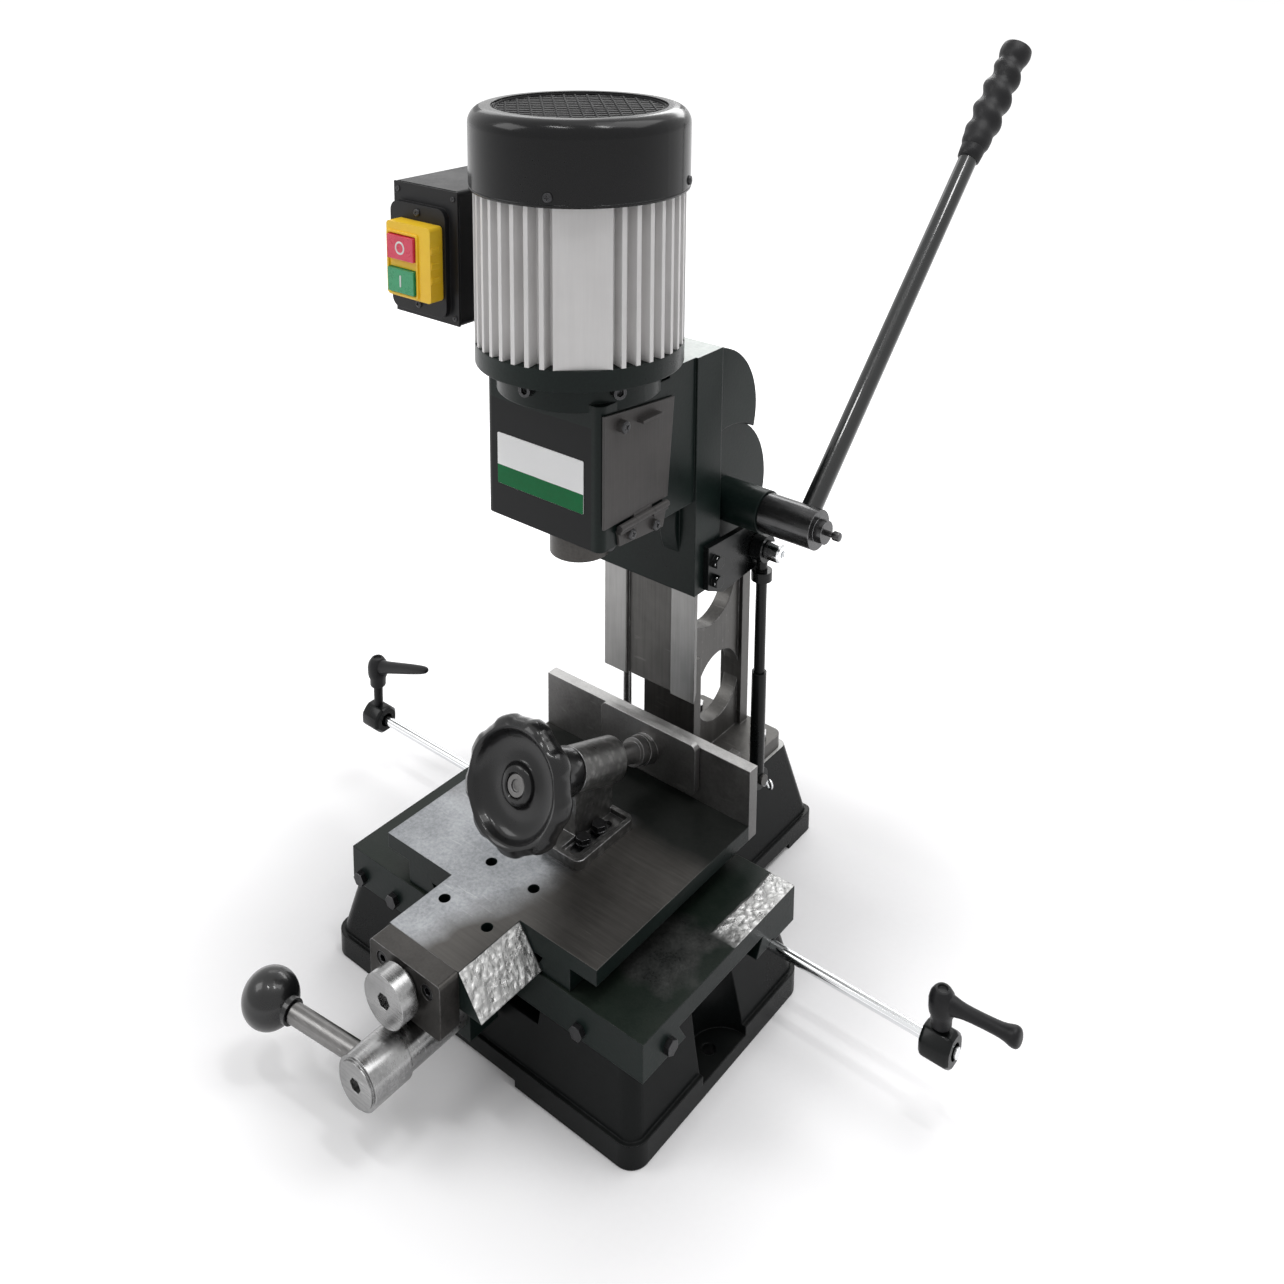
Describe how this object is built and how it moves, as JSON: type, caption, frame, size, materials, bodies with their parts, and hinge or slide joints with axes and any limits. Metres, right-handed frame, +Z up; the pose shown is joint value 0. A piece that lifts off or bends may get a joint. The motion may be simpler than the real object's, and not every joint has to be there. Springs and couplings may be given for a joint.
{
  "type": "bench hollow chisel mortiser",
  "caption": "Bench mortising machine: motor head on a dovetail column with a long feed lever, over a cross-slide table with a fence and a screw clamp.",
  "frame": {"origin": "on the underside of the base, midway between the two bench bolt holes", "axes": "+Z is up, +X is the operator's right, and +Y runs back from the operator towards the column"},
  "size_m": [0.6394, 0.717, 0.6938],
  "materials": {
    "black_enamel": "glossy black machine enamel",
    "grey_enamel": "dark grey hammered enamel",
    "silver_enamel": "satin silver grey paint",
    "cast_iron": "ground and oiled",
    "steel": "turned and ground",
    "chrome": "bright",
    "black_steel": "blackened",
    "bronze": "machined",
    "black_plastic": "moulded, low gloss",
    "yellow_plastic": "moulded",
    "red_plastic": "moulded",
    "green_plastic": "moulded"
  },
  "bodies": {
    "frame": {"base_casting": "black_enamel", "column": "cast_iron", "column_bolts": "steel", "feed_rack": "steel", "x_rack": "steel", "stop_rod": "chrome", "depth_stop_rod": "steel", "strut_cylinder": "black_enamel"},
    "depth_collar": {"depth_stop_collar": "black_enamel"},
    "left_stop": {"stop_collar_left": "black_enamel"},
    "left_stop_handle": {"stop_lever_left": "black_plastic"},
    "right_stop": {"stop_collar_right": "black_enamel"},
    "right_stop_handle": {"stop_lever_right": "black_plastic"},
    "saddle_body": {"saddle": "black_enamel", "saddle_gib": "steel", "saddle_gib_screws": "black_steel", "feed_sleeve": "steel", "cross_nut": "bronze"},
    "saddle_feed_lever": {"x_pinion_shaft": "steel", "x_hub": "steel", "x_lever_rod": "steel", "x_ball_knob": "black_plastic"},
    "table_body": {"table": "cast_iron", "front_plate": "cast_iron", "front_plate_screws": "black_steel", "fence": "cast_iron", "fence_bolts": "black_steel", "clamp_bracket": "cast_iron", "clamp_bracket_bolts": "black_steel"},
    "jaw_body": {"clamp_jaw": "cast_iron"},
    "clamp_wheel_body": {"clamp_screw": "steel", "clamp_handwheel": "black_plastic"},
    "cross_feed": {"cross_screw": "steel", "cross_screw_hub": "steel"},
    "head_body": {"head_casting": "black_enamel", "head_gib": "steel", "head_gib_screws": "black_steel", "rear_cover": "black_enamel", "chisel_bush": "steel", "bush_screw": "black_steel", "door_strip": "grey_enamel", "motor_end_shield": "black_enamel", "motor_screws": "black_steel", "motor_stator": "silver_enamel", "fan_cover": "black_plastic", "switch_box": "black_plastic", "switch_plate": "black_plastic", "switch_body": "yellow_plastic", "strut_bracket": "black_enamel", "strut_rod": "black_enamel"},
    "door_body": {"access_door": "grey_enamel"},
    "spindle": {"rotor": "steel", "drill_chuck": "steel", "cooling_fan": "black_plastic"},
    "stop_button": {"off_button": "red_plastic"},
    "start_button": {"on_button": "green_plastic"},
    "feed_lever": {"lever_shaft": "steel", "lever_hub": "black_enamel", "lever_rod": "black_enamel", "lever_grip": "black_plastic"}
  },
  "joints": [
    {"name": "head_slide", "type": "slide", "parent": "frame", "child": "head_body", "axis": [0, 0, -1], "range_m": [0, 0.08]},
    {"name": "feed_lever_turn", "type": "hinge", "parent": "head_body", "child": "feed_lever", "pos_m": [0.118, 0.14, 0.35], "axis": [1, 0, 0], "range_deg": [-3, 168]},
    {"name": "spindle_spin", "type": "hinge", "parent": "head_body", "child": "spindle", "pos_m": [0, 0.019, 0.45], "axis": [0, 0, 1], "continuous": true},
    {"name": "door_swing", "type": "hinge", "parent": "head_body", "child": "door_body", "pos_m": [0.0585, 0.019, 0.384], "axis": [0, 1, 0], "range_deg": [0, 100]},
    {"name": "stop_button_press", "type": "slide", "parent": "head_body", "child": "stop_button", "axis": [0, 1, 0], "range_m": [0, 0.004], "stiffness_N_per_m": 500},
    {"name": "start_button_press", "type": "slide", "parent": "head_body", "child": "start_button", "axis": [0, 1, 0], "range_m": [0, 0.004], "stiffness_N_per_m": 500},
    {"name": "saddle_slide", "type": "slide", "parent": "frame", "child": "saddle_body", "axis": [1, 0, 0], "range_m": [-0.04, 0.045]},
    {"name": "saddle_lever_turn", "type": "hinge", "parent": "saddle_body", "child": "saddle_feed_lever", "pos_m": [0.005, -0.187, 0.0586], "axis": [0, 1, 0], "range_deg": [-193, 218]},
    {"name": "table_slide", "type": "slide", "parent": "saddle_body", "child": "table_body", "axis": [0, 1, 0], "range_m": [-0.045, 0.015]},
    {"name": "cross_screw_turn", "type": "hinge", "parent": "table_body", "child": "cross_feed", "pos_m": [0.005, -0.171, 0.103], "axis": [0, 1, 0], "range_deg": [-4060, 1360]},
    {"name": "jaw_slide", "type": "slide", "parent": "table_body", "child": "jaw_body", "axis": [0, -0.9455, 0.3256], "range_m": [0, 0.028]},
    {"name": "clamp_wheel_turn", "type": "hinge", "parent": "jaw_body", "child": "clamp_wheel_body", "pos_m": [0.014, 0.08, 0.1488], "axis": [0, -0.9455, 0.3256], "range_deg": [-5, 3370]},
    {"name": "left_stop_slide", "type": "slide", "parent": "frame", "child": "left_stop", "axis": [1, 0, 0], "range_m": [0, 0.08]},
    {"name": "left_stop_clamp", "type": "hinge", "parent": "left_stop", "child": "left_stop_handle", "pos_m": [-0.288, 0.061, 0.11], "axis": [0, 0, 1], "range_deg": [-100, 100]},
    {"name": "right_stop_slide", "type": "slide", "parent": "frame", "child": "right_stop", "axis": [1, 0, 0], "range_m": [-0.08, 0]},
    {"name": "right_stop_clamp", "type": "hinge", "parent": "right_stop", "child": "right_stop_handle", "pos_m": [0.284, 0.061, 0.093], "axis": [0, 0, 1], "range_deg": [-100, 100]},
    {"name": "depth_collar_slide", "type": "slide", "parent": "frame", "child": "depth_collar", "axis": [0, 0, 1], "range_m": [-0.02, 0.08]}
  ],
  "couplings": [
    {"joint": "feed_lever_turn", "follows": "head_slide", "rad_per_m": 35.714},
    {"joint": "saddle_lever_turn", "follows": "saddle_slide", "rad_per_m": 83.333},
    {"joint": "cross_screw_turn", "follows": "table_slide", "rad_per_m": 1570.8},
    {"joint": "clamp_wheel_turn", "follows": "jaw_slide", "rad_per_m": 2094.4}
  ]
}
